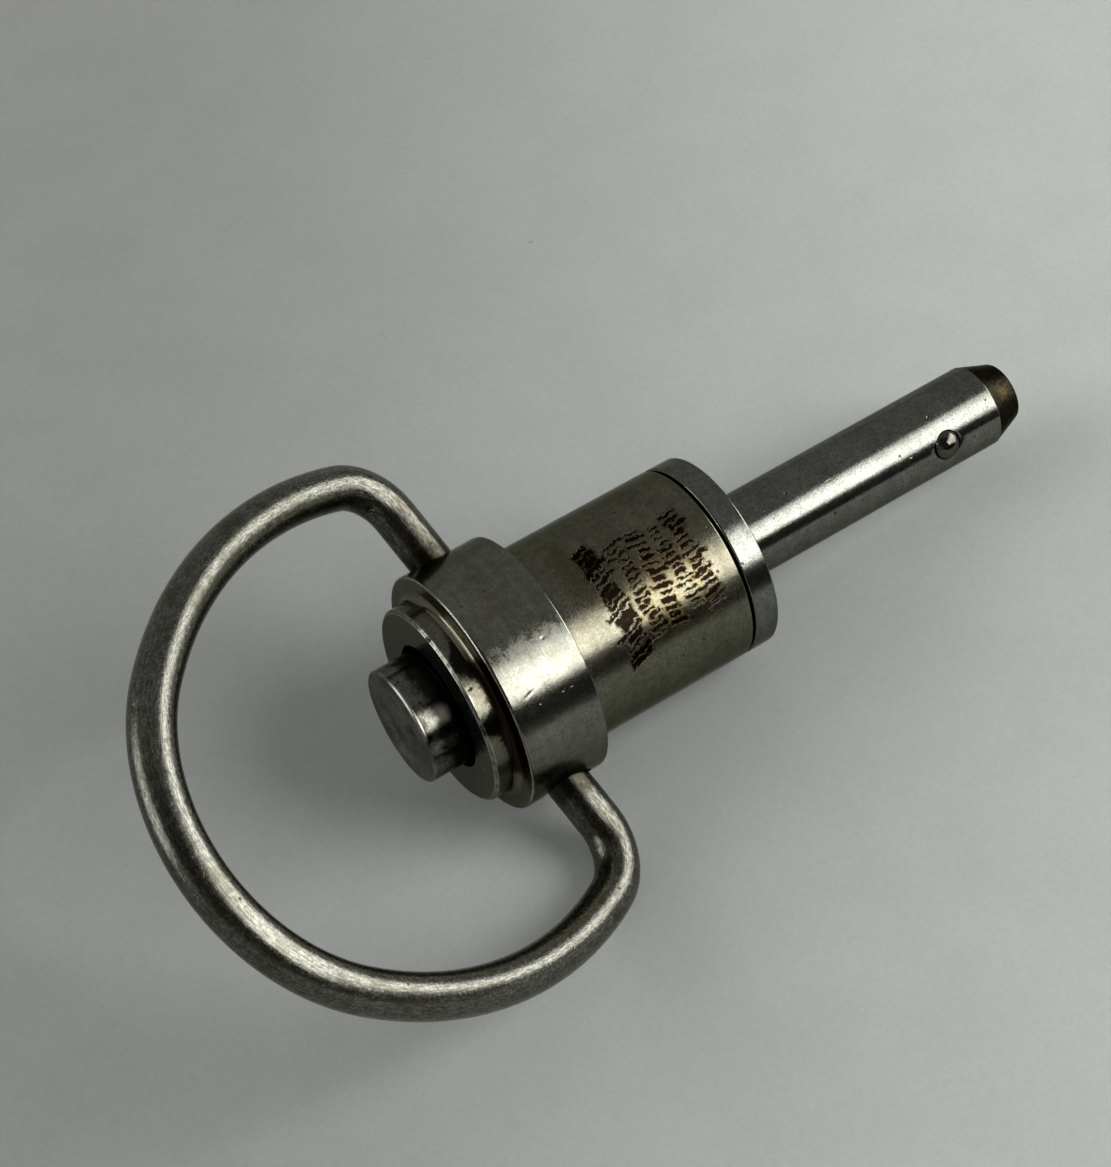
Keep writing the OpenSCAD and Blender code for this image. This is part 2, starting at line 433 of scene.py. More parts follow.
def bumped(height, distance, normal=None):
    """The normal of a surface that stands up by a height, with 1 a distance in millimetres."""
    made = beside([height], "ShaderNodeBump")
    feed(made.inputs["Height"], height)
    made.inputs["Distance"].default_value = distance * MM
    if normal is not None:
        feed(made.inputs["Normal"], normal)
    return made.outputs["Normal"]


def new_group(name, outputs, **inputs):
    """A node group with its named outputs and its named inputs, which have usual values.
    Point is a vector and the others are numbers. Gives the tree and both ends."""
    tree = bpy.data.node_groups.new(name, "ShaderNodeTree")
    for label in [*inputs, *outputs]:
        side = "INPUT" if label in inputs else "OUTPUT"
        kind = "NodeSocketVector" if label == "Point" else "NodeSocketFloat"
        socket = tree.interface.new_socket(label, in_out=side, socket_type=kind)
        if inputs.get(label) is not None:
            socket.default_value = inputs[label]
    return tree, add(tree, "NodeGroupInput").outputs, add(tree, "NodeGroupOutput").inputs


def place(group, **values):
    """Puts a group where its values come from. Gives its outputs."""
    made = beside(values.values(), "ShaderNodeGroup", node_tree=group)
    for name, value in values.items():
        feed(made.inputs[name], value)
    return made.outputs


# == Shared effects ==
def pin_place_group():
    """Where a point of the surface lies on the pin: millimetres along it, degrees round it
    and millimetres from its axis. Point is the same place as a vector in millimetres."""
    tree, _, out = new_group("place on the pin", ["Along", "Angle", "Radius", "Point"])
    coordinates = add(tree, "ShaderNodeTexCoord").outputs["Object"]
    x, y, z = [dot(coordinates, axis / MM) for axis in (PIN_X, PIN_Y, PIN_Z)]
    turn = sums("ARCTAN2", product(y, -1), z)
    feed(out["Along"], x)
    feed(out["Angle"], sums("DEGREES", turn))
    feed(out["Radius"], diagonal(y, z))
    feed(out["Point"], joined(x, y, z))
    return tree


def turning_marks_group():
    """Fine rings left by the lathe: they change quickly along the profile and hardly at all
    round the piece. Gives a height and a slower band for the shade."""
    tree, given, out = new_group("turning marks", ["Height", "Band"], Point=None, Radius=0.0,
                                 Fineness=6.0)
    round_scale = 0.22
    x, y, z = parted(given["Point"])
    run = total(x, product(given["Radius"], 1.31))
    point = joined(product(run, given["Fineness"]), product(y, round_scale),
                   product(z, round_scale))
    feed(out["Height"], cloudy(point, 1.0, 2, 0.6))
    slow = times(point, (0.16, 0.7, 0.7))
    feed(out["Band"], cloudy(slow, 1.0, 3, 0.6))
    return tree


def scratches_group():
    """Thin broken scratches of a width. A stretched point pulls them out in a direction, and
    Amount says how much of the surface has them."""
    tree, given, out = new_group("scratches", ["Mask"], Point=None, Scale=1.0, Width=0.012,
                                 Amount=0.4)
    lines = cloudy(given["Point"], given["Scale"], 1.5, 0.4)
    line = grade(apart(lines, 0.5), given["Width"], 0)
    shifted = times(given["Point"], (1.7, 1.3, 1.5))
    patch = cloudy(shifted, product(given["Scale"], 0.9), 2, 0.5)
    low = less(1.0, given["Amount"])
    kept = grade(patch, less(low, 0.06), total(low, 0.06))
    feed(out["Mask"], product(line, kept))
    return tree


def pits_group():
    """Small round pits and specks, at most one to a cell. Share says how many cells have
    one. Gives a mask."""
    tree, given, out = new_group("pits", ["Mask"], Point=None, Scale=2.0, Size=0.18, Share=0.3)
    cells = add(tree, "ShaderNodeTexVoronoi", feature="F1")
    feed(cells.inputs["Vector"], given["Point"])
    feed(cells.inputs["Scale"], given["Scale"])
    spot = grade(cells.outputs["Distance"], given["Size"], product(given["Size"], 0.45))
    chance = parted(cells.outputs["Color"], "Color")[0]
    chosen = sums("LESS_THAN", chance, given["Share"])
    feed(out["Mask"], product(spot, chosen))
    return tree


def edge_wear_group():
    """Bright broken wear along the edges that the mesh marks. Gives a mask."""
    tree, given, out = new_group("edge wear", ["Mask"], Point=None)
    worn = add(tree, "ShaderNodeAttribute", attribute_name="worn_edge").outputs["Fac"]
    ragged = total(worn, drift(given["Point"], 2.3, 0.7, 1.1))
    feed(out["Mask"], grade(ragged, 0.55, 0.85))
    return tree


def etched_row_group():
    """One row of plain bars burnt into the steel round part of a cylinder. The bars lean,
    and no two are quite as wide or as tall."""
    tree, given, out = new_group(
        "etched row", ["Mask"], Along=0.0, Angle=0.0, Middle=0.0, Height=1.0, Start=0.0,
        End=10.0, Pitch=4.0, Fill=0.5, Slant=0.0, Soft=0.05)
    soft = given["Soft"]
    hard = product(soft, -1.0)
    off = less(given["Along"], given["Middle"])
    leaning = total(given["Angle"], product(off, given["Slant"]))
    bars = sums("DIVIDE", total(leaning, 360.0), given["Pitch"])
    which = joined(sums("FLOOR", bars), given["Middle"])
    chance = add(tree, "ShaderNodeTexWhiteNoise", noise_dimensions="2D")
    feed(chance.inputs["Vector"], which)
    taller, moved, wider = parted(chance.outputs["Color"], "Color")
    half = product(given["Height"], grade(taller, 0, 1, 0.32, 0.56))
    shifted = total(off, grade(moved, 0, 1, -0.16, 0.16))
    inside = grade(less(half, sums("ABSOLUTE", shifted)), hard, soft)
    from_middle = apart(sums("FRACT", bars), 0.5)
    wide = product(given["Fill"], grade(wider, 0, 1, 0.3, 0.64))
    bar = grade(less(wide, from_middle), hard, soft)
    after = grade(less(leaning, given["Start"]), -0.4, 0.4)
    before = grade(less(given["End"], leaning), -0.4, 0.4)
    feed(out["Mask"], product(inside, bar, product(after, before)))
    return tree


PIN_PLACE = pin_place_group()
TURNING_MARKS = turning_marks_group()
SCRATCHES = scratches_group()
PITS = pits_group()
EDGE_WEAR = edge_wear_group()
ETCHED_ROW = etched_row_group()


# == Materials ==
DULL_EDGE = (0.5, 0.5, 0.47)
BRIGHT_EDGE = (0.9, 0.9, 0.86)
WORN_BRIGHT = (0.75, 0.75, 0.7)
STRAW_STAIN = (0.1, 0.082, 0.048)
PIT_BROWN = (0.05, 0.04, 0.03)
PIT_DEPTH = 3.0
SCRATCH_DEPTH = 0.006


def blank_material(name, kind):
    """A material with one shader. Gives it with its tree and its shader."""
    material = bpy.data.materials.new(name)
    material.use_nodes = True
    tree = material.node_tree
    tree.nodes.clear()
    shader = add(tree, kind)
    feed(add(tree, "ShaderNodeOutputMaterial").inputs["Surface"], shader.outputs[0])
    return material, tree, shader


def steel(name, anisotropy, edge_tint=DULL_EDGE):
    """A bare steel material. Gives it with its tree and its shader."""
    material, tree, shader = blank_material(name, "ShaderNodeBsdfPrincipled")
    shader.inputs["Metallic"].default_value = 1
    shader.inputs["Anisotropic"].default_value = anisotropy
    shader.inputs["Specular Tint"].default_value = (*edge_tint, 1)
    if anisotropy:
        tangent = add(tree, "ShaderNodeTangent", direction_type="UV_MAP", uv_map="turning")
        feed(shader.inputs["Tangent"], tangent.outputs[0])
    return material, tree, shader


def pin_place(tree):
    """Where a point of the surface lies on the pin."""
    return add(tree, "ShaderNodeGroup", node_tree=PIN_PLACE).outputs


def turned_steel(name, colour, roughness, anisotropy, fineness, marks, grain, speckled, extras,
                 ringed=0.05, stained=0.3, worn=0.8):
    """Turned stainless steel: lathe rings, a little grain, scratches, dull stains, small pits
    and bright worn edges. Each of extras(where, colour) gives the changed colour, an
    added roughness and how far the surface stands up."""
    material, tree, shader = steel(name, anisotropy)
    where = pin_place(tree)
    point = where["Point"]
    rings = place(TURNING_MARKS, Point=point, Radius=where["Radius"], Fineness=fineness)
    fine = cloudy(point, 6.0, 3, 0.9)
    coarse = cloudy(point, 0.55, 4, 0.6)
    mottle = cloudy(point, 1.6, 4, 0.75)
    long_way = times(point, (0.5, 2.2, 2.2))
    round_way = times(point, (3.2, 0.45, 0.45))
    lines_a = place(SCRATCHES, Point=long_way, Scale=0.9, Width=0.01, Amount=0.2)
    lines_b = place(SCRATCHES, Point=round_way, Scale=1.3, Width=0.012, Amount=0.2)
    lines = sums("MAXIMUM", lines_a["Mask"], lines_b["Mask"])
    pits = place(PITS, Point=point, Scale=1.1, Size=0.16, Share=0.16)["Mask"]
    edge = product(place(EDGE_WEAR, Point=point)["Mask"], worn)

    shade = product(vary(rings["Band"], 0.9, 1.08),
                    vary(rings["Height"], 1 - ringed, 1 + ringed),
                    vary(fine, 1 - speckled, 1 + speckled),
                    vary(mottle, 0.82, 1.12))
    stains = grade(coarse, 0.5, 0.72, 0, stained)
    base = tint(stains, shaded(colour, shade), STRAW_STAIN)
    rougher = []
    raised = []
    for extra in extras:
        base, added, relief = extra(where, base)
        rougher.append(added)
        raised.append(relief)
    base = tint(product(pits, 0.8), base, PIT_BROWN)
    feed(shader.inputs["Base Color"], tint(edge, base, WORN_BRIGHT))

    rough = total(roughness, vary(fine, -0.03, 0.05), product(stains, 0.25),
                  product(lines, 0.08), *rougher)
    feed(shader.inputs["Roughness"], rough)

    normal = bumped(rings["Height"], marks)
    normal = bumped(fine, grain, normal)
    height = total(less(0.0, total(lines, product(pits, PIT_DEPTH))), *raised)
    feed(shader.inputs["Normal"], bumped(height, SCRATCH_DEPTH, normal))
    return material


def near_angle(where, middle, width, full=0):
    """1 up to full degrees from an angle round the pin, falling smoothly to 0 a width away."""
    return grade(apart(where["Angle"], middle), width, full)


def from_patch(where, x, half_length, angle, half_angle):
    """How far a point lies from the middle of an oval patch, in shares of its half sizes."""
    along = sums("DIVIDE", less(where["Along"], x), half_length)
    turn = sums("DIVIDE", less(where["Angle"], angle), half_angle)
    return diagonal(along, turn)


def etched_mark(where, base):
    """The plain pattern burnt into the barrel: five rows of bars in dark brown, with brown
    edges and straw heat colours in the middle."""
    rows = [
        # middle, height, start, end, pitch, fill, slant
        (-11.15, 2.0, -33.0, 40.0, 4.3, 0.84, 3.0),
        (-9.25, 1.4, -27.0, 31.0, 3.7, 0.54, 1.5),
        (-7.6, 1.35, -27.0, 32.0, 4.3, 0.58, -1.0),
        (-6.05, 1.25, -24.0, 27.0, 3.5, 0.56, 0.0),
        (-4.5, 1.4, -29.0, 31.0, 4.1, 0.6, 1.5),
    ]
    halo_height = 0.3
    halo_fill = 0.24
    point = where["Point"]
    wobble = drift(point, 2.2, 0.75)
    along = total(where["Along"], product(wobble, 0.9))
    angle = total(where["Angle"], product(wobble, 8.0))
    mask = 0.0
    halo = 0.0
    for middle, height, start, end, pitch, fill, slant in rows:
        row = dict(Along=along, Angle=angle, Middle=middle, Start=start, End=end, Pitch=pitch,
                   Slant=slant)
        burnt = place(ETCHED_ROW, Height=height, Fill=fill, Soft=0.07, **row)
        warmed = place(ETCHED_ROW, Height=height + halo_height, Fill=fill + halo_fill,
                       Soft=0.16, **row)
        mask = sums("MAXIMUM", mask, burnt["Mask"])
        halo = sums("MAXIMUM", halo, warmed["Mask"])
    mask = product(mask, grade(cloudy(point, 1.5, 4, 0.7), 0.3, 0.4))
    heart = total(from_patch(where, -6.9, 3.4, 8.0, 24.0),
                  drift(point, 1.1, 0.7, 2.6))
    heat = grade(heart, 1.3, 0.5)
    base = tint(product(heat, 0.25), base, (0.15, 0.125, 0.055))
    brown = tint(heat, (0.04, 0.03, 0.014), (0.105, 0.066, 0.02))
    base = tint(product(halo, 0.85), base, brown)
    base = tint(mask, base, (0.006, 0.004, 0.0025))
    return base, product(mask, 0.1), product(mask, -PIT_DEPTH)


def brown_stain(where, base):
    """A thin brown film on the barrel beside the mark, as handling and heat leave it."""
    gap = total(from_patch(where, -12.6, 1.3, -24.0, 30.0),
                drift(where["Point"], 1.0, 0.65, 1.5))
    film = grade(gap, 1.2, 0.3, 0, 0.55)
    return tint(film, base, (0.08, 0.066, 0.034)), 0.0, 0.0


def boss_face_and_painted_shade(where, base):
    """The barrel's dull end face, and painted shade: near black in the corner between the
    barrel's front end and the collar, spread further forward in two places as painted dark
    reflections."""
    deep = total(where["Along"], drift(where["Point"], 1.2, 0.7, 1.7),
                 product(near_angle(where, -9, 16), 0.9),
                 product(near_angle(where, 29, 9), 1.5))
    # painted shade and painted dark reflection: near black in the corner and at two angles round the
    # barrel
    film = product(grade(deep, COLLAR_FRONT - 0.75, COLLAR_FRONT - 0.3, 0, 0.97),
                   grade(where["Angle"], -34, -20, 0.1, 1),
                   sums("GREATER_THAN", where["Radius"], BARREL_R - 0.25),
                   sums("LESS_THAN", where["Along"], COLLAR_FRONT + 0.1))
    end_face = sums("LESS_THAN", where["Along"], BARREL_FRONT + 0.05)
    base = tint(product(end_face, 0.75), base, (0.23, 0.23, 0.205))
    return tint(film, base, (0.01, 0.009, 0.007)), 0.0, 0.0


def face_tone_and_painted_shade(where, base):
    """The collar's front face: golden grey, with painted shade in rust brown over much of it and
    down in the corner inside it, standing for its shade and the dark it mirrors."""
    turned_to = total(where["Angle"], drift(where["Point"], 0.9, 0.65, 30.0))
    on_face = grade(where["Along"], COLLAR_FRONT + 0.36, COLLAR_FRONT + 0.22)
    # painted shade: rust brown on the face from just past its top round its lower side
    film = product(grade(turned_to, -9, -1, 0.05, 0.97),
                   grade(turned_to, 58, 80, 1, 0.12), on_face)
    base = tint(product(on_face, 0.8), base, (0.24, 0.225, 0.17))
    return tint(film, base, (0.018, 0.010, 0.0065)), product(film, 0.08), 0.0


def rubbed_band_and_painted_highlight(where, base):
    """A duller band along the top of the collar, rubbed by handling, with a painted highlight."""
    cloud = cloudy(where["Point"], 1.3, 4, 0.7)
    band = product(near_angle(where, 0.0, 9), grade(cloud, 0.35, 0.6),
                   sums("GREATER_THAN", where["Along"], COLLAR_FRONT + 0.5))
    # painted highlight: the band's paler colour widens the collar's highlight upwards
    base = tint(product(band, 0.4), base, (0.26, 0.26, 0.23))
    return base, product(band, 0.16), 0.0


def button_dirt_and_painted_light(where, base):
    """Black specks on the button's side, painted shade growing near black where it goes into the
    barrel, a dark brown band on part of its rim, swirled smudges and a painted highlight arc on its
    face."""
    point = where["Point"]
    x = where["Along"]
    cloud = drift(point, 0.9, 0.7)
    edge = total(x, product(cloud, 2.4))
    side = sums("GREATER_THAN", x, BUTTON_FACE + 0.3)
    # painted shade: the side darkens to near black towards where the button goes into the barrel
    film = product(grade(edge, BUTTON_FACE + 0.6, BUTTON_FACE + 1.7, 0.1, 0.97), side)
    base = tint(film, base, (0.011, 0.010, 0.008))
    rim = product(grade(edge, BUTTON_FACE + 0.55, BUTTON_FACE + 0.3, 0, 0.95),
                  grade(x, BUTTON_FACE + 0.01, BUTTON_FACE + 0.05),
                  near_angle(where, 24, 34))
    base = tint(rim, base, (0.016, 0.010, 0.0065))
    specks = place(PITS, Point=point, Scale=2.4, Size=0.34, Share=0.4)["Mask"]
    base = tint(product(specks, side, 0.85), base, (0.012, 0.011, 0.008))
    on_face = sums("LESS_THAN", x, BUTTON_FACE + 0.25)
    swirl = cloudy(point, 0.55, 5, 0.6)
    smudged = product(on_face, grade(swirl, 0.36, 0.6, 0.0, 0.95))
    base = tint(smudged, base, (0.3, 0.3, 0.272))
    # painted highlight: a pale arc across the face's dished part, where it would mirror the window
    arc = product(grade(where["Radius"], 2.1, 2.6),
                  grade(where["Radius"], 3.9, 3.2), near_angle(where, 118, 75),
                  grade(cloud, -0.2, 0.15, 0.4, 1), on_face)
    base = tint(product(arc, 0.6), base, (0.42, 0.42, 0.38))
    return base, product(on_face, 0.1), 0.0


def nose_heat_and_painted_highlight(where, base):
    """The nose's mottled brown heat colour, with a painted highlight in a paler spot."""
    x = where["Along"]
    on_nose = grade(x, SHANK_END - 0.02, SHANK_END + 0.1)
    mottle = cloudy(where["Point"], 3.2, 4, 0.8)
    brown = tint(grade(mottle, 0.36, 0.62), (0.004, 0.003, 0.002), (0.0165, 0.013, 0.008))
    base = tint(product(on_nose, 0.985), base, brown)
    # painted highlight: the paler spot lies where the window's highlight runs along the pin
    spot = product(near_angle(where, 9.0, 16, 2),
                   grade(x, SHANK_END + 0.5, SHANK_END + 1.1),
                   grade(x, SHANK_END + 2.1, SHANK_END + 1.4),
                   grade(mottle, 0.35, 0.6, 0.15, 0.95))
    base = tint(spot, base, (0.038, 0.026, 0.012))
    return base, product(on_nose, 0.2), 0.0


def wire_steel():
    """Drawn wire, rubbed bright along its length with brown dirt left in the hollows, and near
    black where it goes into the collar, partly dirt and partly painted shade."""
    material, tree, shader = steel("ring wire, rubbed", 0.35, BRIGHT_EDGE)
    uv = add(tree, "ShaderNodeUVMap", uv_map="turning").outputs[0]
    drawn = cloudy(times(uv, (150.0, 75.0, 1.0)), 1.0, 3, 0.6)
    where = pin_place(tree)
    point = where["Point"]
    fine = cloudy(point, 4.5, 4, 0.8)
    coarse = cloudy(point, 0.45, 4, 0.65)
    lines = place(SCRATCHES, Point=point, Scale=1.2, Width=0.01, Amount=0.3)["Mask"]
    pits = place(PITS, Point=point, Scale=1.4, Size=0.16, Share=0.2)["Mask"]
    base = tint(grade(drawn, 0.36, 0.6), (0.082, 0.08, 0.067), (0.166, 0.166, 0.145))
    base = shaded(base, vary(fine, 0.6, 1.4))
    base = tint(grade(coarse, 0.46, 0.66, 0, 0.6), base, (0.068, 0.062, 0.043))
    base = tint(product(pits, 0.7), base, (0.03, 0.022, 0.015))
    out = total(where["Radius"], drift(point, 0.9, 0.65, 4.5))
    legs = product(grade(out, COLLAR_R + 9, COLLAR_R + 5, 0, 0.6),
                   grade(drawn, 0.35, 0.62, 1.25, 0.4))
    base = tint(legs, base, (0.034, 0.031, 0.024))
    # partly painted shade: the wire darkens to near black where it goes into the collar
    root = grade(out, COLLAR_R + 2.2, COLLAR_R + 0.4, 0, 0.9)
    feed(shader.inputs["Base Color"], tint(root, base, (0.020, 0.018, 0.013)))
    rough = total(0.23, vary(fine, -0.03, 0.06), product(lines, 0.1))
    feed(shader.inputs["Roughness"], rough)
    normal = bumped(drawn, 0.004)
    normal = bumped(fine, 0.008, normal)
    height = less(0.0, total(lines, product(pits, PIT_DEPTH)))
    feed(shader.inputs["Normal"], bumped(height, SCRATCH_DEPTH, normal))
    return material


def small_steel(name, colour, roughness, stain=(0.11, 0.095, 0.07)):
    """Plain steel for the pieces that hardly show: a fine grain and stains."""
    material, tree, shader = steel(name, 0)
    point = pin_place(tree)["Point"]
    fine = cloudy(point, 7.0, 4, 0.7)
    coarse = cloudy(point, 0.9, 4, 0.6)
    lines = place(SCRATCHES, Point=point, Scale=1.6, Width=0.012, Amount=0.4)["Mask"]
    base = tint(grade(coarse, 0.45, 0.75, 0, 0.5), colour, stain)
    feed(shader.inputs["Base Color"], base)
    feed(shader.inputs["Roughness"], vary(fine, roughness * 0.85, roughness * 1.3))
    height = less(0.0, lines)
    normal = bumped(height, 0.005, bumped(fine, 0.003))
    feed(shader.inputs["Normal"], normal)
    return material


SHANK_STEEL = turned_steel(
    "shank steel, ground", (0.168, 0.17, 0.153), roughness=0.1, anisotropy=0.2, fineness=5.0,
    marks=0.0005, grain=0.005, speckled=0.35, extras=[nose_heat_and_painted_highlight], ringed=0.02, stained=0.15)
BARREL_STEEL = turned_steel(
    "barrel steel, turned and etched", (0.147, 0.141, 0.107), roughness=0.19, anisotropy=0.55,
    fineness=7.0, marks=0.003, grain=0.005, speckled=0.3,
    extras=[brown_stain, boss_face_and_painted_shade, etched_mark], worn=0.3)
COLLAR_STEEL = turned_steel(
    "collar steel, turned", (0.182, 0.18, 0.151), roughness=0.14, anisotropy=0.6, fineness=6.0,
    marks=0.003, grain=0.004, speckled=0.25, extras=[rubbed_band_and_painted_highlight, face_tone_and_painted_shade], worn=0.45)
BUTTON_STEEL = turned_steel(
    "button steel, turned", (0.165, 0.166, 0.145), roughness=0.14, anisotropy=0.4, fineness=5.0,
    marks=0.003, grain=0.006, speckled=0.4, extras=[button_dirt_and_painted_light], worn=0.0)
RING_WIRE = wire_steel()
SPINDLE_STEEL = small_steel("spindle steel, ground", (0.24, 0.24, 0.215), 0.24)
SPRING_WIRE = small_steel("spring wire, drawn", (0.22, 0.21, 0.19), 0.3)
BALL_STEEL = small_steel("ball steel, polished", (0.105, 0.1, 0.088), 0.07, (0.04, 0.03, 0.02))


# == Pieces ==
def shank():
    """The shank with its flange and the spigot that the barrel sits on. Its open profile goes
    from the blind bore's end out of the bore's mouth and round the outside to the axis."""
    bevel = 0.15
    pocket_r = 1.23
    profile = [
        (SPIGOT_FRONT, SPINDLE_BORE_R, 0.05),
        (SPIGOT_FRONT, SPIGOT_R - bevel, 0.05),
        (SPIGOT_FRONT + bevel, SPIGOT_R, 0.05),
        (FLANGE_FRONT, SPIGOT_R, 0.05),
        (FLANGE_FRONT, FLANGE_R, 0.14),
        (0, FLANGE_R, 0.16),
        (0, SHANK_R, 0.12),
        (SHANK_END, SHANK_R, 0.06),
        (NOSE_END, NOSE_END_R, 0.22),
        (NOSE_END, 0, 0),
    ]
    bore = [
        (SPINDLE_BORE_END + 0.6, 0, 0),
        (SPINDLE_BORE_END, SPINDLE_BORE_R, 0.05),
    ]
    made = turned(bore + profile, closed=False, segments=320)
    strike(made, around(10.8, 44, SHANK_R), 0.28, 0.05)
    strike(made, around(9.83, 6, SHANK_R), 0.16, 0.02)
    strike(made, around(8.78, -2, SHANK_R), 0.16, 0.02)
    pocket = [(0, 0, 0), (0, pocket_r, 0), (SHANK_R - 0.27, pocket_r, 0),
              (SHANK_R - 0.27, 1.16, 0), (SHANK_R - 0.09, 1.12, 0), (SHANK_R + 0.4, 2.0, 0),
              (SHANK_R + 0.4, 0, 0)]
    middle = Vector((BALL_X, 0, 0))
    pockets = [rod(pocket, middle, around(0, BALL_TURN + turn, 1)) for turn in (0, 180)]
    edges = [(0, FLANGE_R), (FLANGE_FRONT, FLANGE_R)]
    finish_piece(made, "shank_turned", edges, "shank", "pin_body",
                 SHANK_STEEL, pockets)


def barrel():
    """The barrel, with the button's hole in its front wall and the hinge's cross hole. Its
    back end leaves only a fine gap before the flange."""
    front_bevel = 0.2
    back = BARREL_BACK + 0.12
    profile = [
        (BARREL_FRONT, BUTTON_HOLE_R, 0.12),
        (BARREL_FRONT, BARREL_R - front_bevel, 0.04),
        (BARREL_FRONT + front_bevel, BARREL_R, 0.04),
        (back, BARREL_R, 0.12),
        (back, BORE_R, 0.05),
        (BARREL_FRONT + FRONT_WALL, BORE_R, 0.05),
        (BARREL_FRONT + FRONT_WALL, BUTTON_HOLE_R, 0.05),
    ]
    made = turned(profile)
    strike(made, around(BARREL_FRONT, -30, BARREL_R), 0.5, 0.12)
    strike(made, around(BARREL_FRONT, -94, 5.25), 0.35, 0.05)
    strike(made, around(BARREL_FRONT, 69, 5.84), 0.4, 0.06)
    strike(made, around(-23.15, 5.6, BARREL_R), 0.3, 0.05)
    hinge = cross_hole(HINGE_X, 3.3, 2 * BARREL_R + 2, (0, 1, 0))
    edges = [(BARREL_FRONT, BARREL_R - front_bevel), (BARREL_FRONT + front_bevel, BARREL_R),
             (BARREL_FRONT, BUTTON_HOLE_R), (back, BARREL_R)]
    finish_piece(made, "barrel_turned", edges, "barrel", "pin_body",
                 BARREL_STEEL, [hinge])


def collar():
    """The collar round the barrel. Its front face is hollowed in a curve down to the barrel,
    and the hinge's cross hole goes through it."""
    rounding = 0.22
    bore_r = BARREL_R + 0.01
    root = 0.5
    lip = 0.03
    face = COLLAR_FRONT + 0.18
    profile = [
        (face - root - lip, bore_r, 0),
        (face - root - lip, bore_r + lip, 0),
        (face, bore_r + lip, root),
        (face, COLLAR_R, rounding),
        (COLLAR_BACK, COLLAR_R, 0.12),
        (COLLAR_BACK, bore_r, 0.05),
    ]
    made = turned(profile, segments=448)
    strike(made, around(-20.1, 20, COLLAR_R), 0.3, 0.012, length=1.1, lean=20)
    strike(made, around(-17.5, 2, COLLAR_R), 0.3, 0.025)
    for x in (-19.7, -18.9, -17.9, -17.2):
        strike(made, around(x, 26, COLLAR_R), 0.16, 0.02)
    hinge = cross_hole(HINGE_X, 4, 2 * COLLAR_R + 2, (0, 1, 0))
    on_arc = 0.3 * rounding
    edges = [(face + on_arc, COLLAR_R - on_arc), (COLLAR_BACK, COLLAR_R)]
    finish_piece(made, "collar_turned", edges, "collar", "pin_body",
                 COLLAR_STEEL, [hinge])


def button():
    """The button with its dished face, its rim that the barrel's front wall holds, and the
    hub with the spindle's socket and the cross pin's hole."""
    bevel = 0.12
    socket_r = 1.26
    socket_x = BUTTON_FACE + 1.9
    profile = [
        (BUTTON_FACE + 0.16, 0, 0),
        (BUTTON_FACE + 0.14, 1.9, 0.6),
        (BUTTON_FACE, 3.1, 0.5),
        (BUTTON_FACE, BUTTON_R - bevel, 0.03),
        (BUTTON_FACE + bevel, BUTTON_R, 0.04),
        (BUTTON_RIM_X, BUTTON_R, 0.05),
        (BUTTON_RIM_X, BUTTON_RIM_R, 0.05),
        (BUTTON_RIM_BACK, BUTTON_RIM_R, 0.05),
        (BUTTON_RIM_BACK, HUB_R, 0.05),
        (HUB_END, HUB_R, 0.05),
        (HUB_END, socket_r, 0.05),
        (socket_x, socket_r, 0.05),
        (socket_x, 0, 0),
    ]
    made = turned(profile, closed=False)
    strike(made, around(-25.4, 45, BUTTON_R), 0.3, 0.05)
    pin_hole = cross_hole(CROSS_PIN_X, 1.02, 2 * HUB_R + 1, (0, 0, 1))
    edges = [(BUTTON_FACE + bevel / 2, BUTTON_R - bevel / 2)]
    finish_piece(made, "button_turned", edges, "button", "plunger",
                 BUTTON_STEEL, [pin_hole])


# The ring's wire: straight steps are (length, 0), bends are (radius, angle), turning right
# where the angle is positive. It starts at the far end, in the ring's own flat plane.
WIRE_START = 6.1
WIRE_STEPS = [
    (1.3, 0), (5, 11.7), (4.66, 0), (4.27, 72.7), (28.124, 49.4), (14.902, 103.2),
    (25.7, 53.6), (4.27, 81.1), (3.89, 0), (5, -11.7), (1.3, 0),
]

# Marks of the bending tool: length along the wire, turn round it, width, depth, length, lean.
TOOL_MARKS = [
    (8.6, 265, 0.25, 0.018, 1.8, -57),
    (9.3, 195, 0.6, 0.2, 0.6, 0),
    (8.7, 190, 0.5, -0.07, 0.5, 0),
    (39.1, 345, 0.25, 0.06, 0.5, 0),
]


def wire_line(spacing):
    """The wire's middle line as (point, heading) pairs in the ring's plane."""
    at = Vector((-WIRE_START, 0))
    heading = 180
    line = []
    for size, bend in WIRE_STEPS:
        length = size * math.radians(abs(bend)) if bend else size
        count = max(2, round(length / spacing))
        for i in range(count):
            line.append(along_step(at, heading, size, bend, i / count))
        at, heading = along_step(at, heading, size, bend, 1)
    line.append((at, heading))
    return line


def along_step(at, heading, size, bend, share):
    """Where a step of the wire has got to, and its heading there."""
    h = math.radians(heading)
    if bend == 0:
        return at + Vector((math.cos(h), math.sin(h))) * size * share, heading
    b = math.radians(bend * share)
    side = 1 if bend > 0 else -1
    run = Vector((math.sin(h) - math.sin(h - b), math.cos(h - b) - math.cos(h)))
    return at + run * size * side, heading - bend * share


def on_wire(at, heading, turn):
    """A point on the wire's surface, turned round the wire from the bends' outer side."""
    h = math.radians(heading)
    a = math.radians(turn)
    out = Vector((-math.sin(h), math.cos(h), 0))
    return Vector((at.x, at.y, 0)) + (out * math.cos(a) + Vector((0, 0, math.sin(a)))) * WIRE_R


def ring_frame():
    """Turns the ring's plane (x, y, thickness) into the pin's own frame."""
    swing = math.radians(RING_SWING)
    x_goes = Vector((0, -1, 0))
    y_goes = Vector((-math.cos(swing), 0, math.sin(swing)))
    return Matrix((x_goes, y_goes, x_goes.cross(y_goes))).transposed()


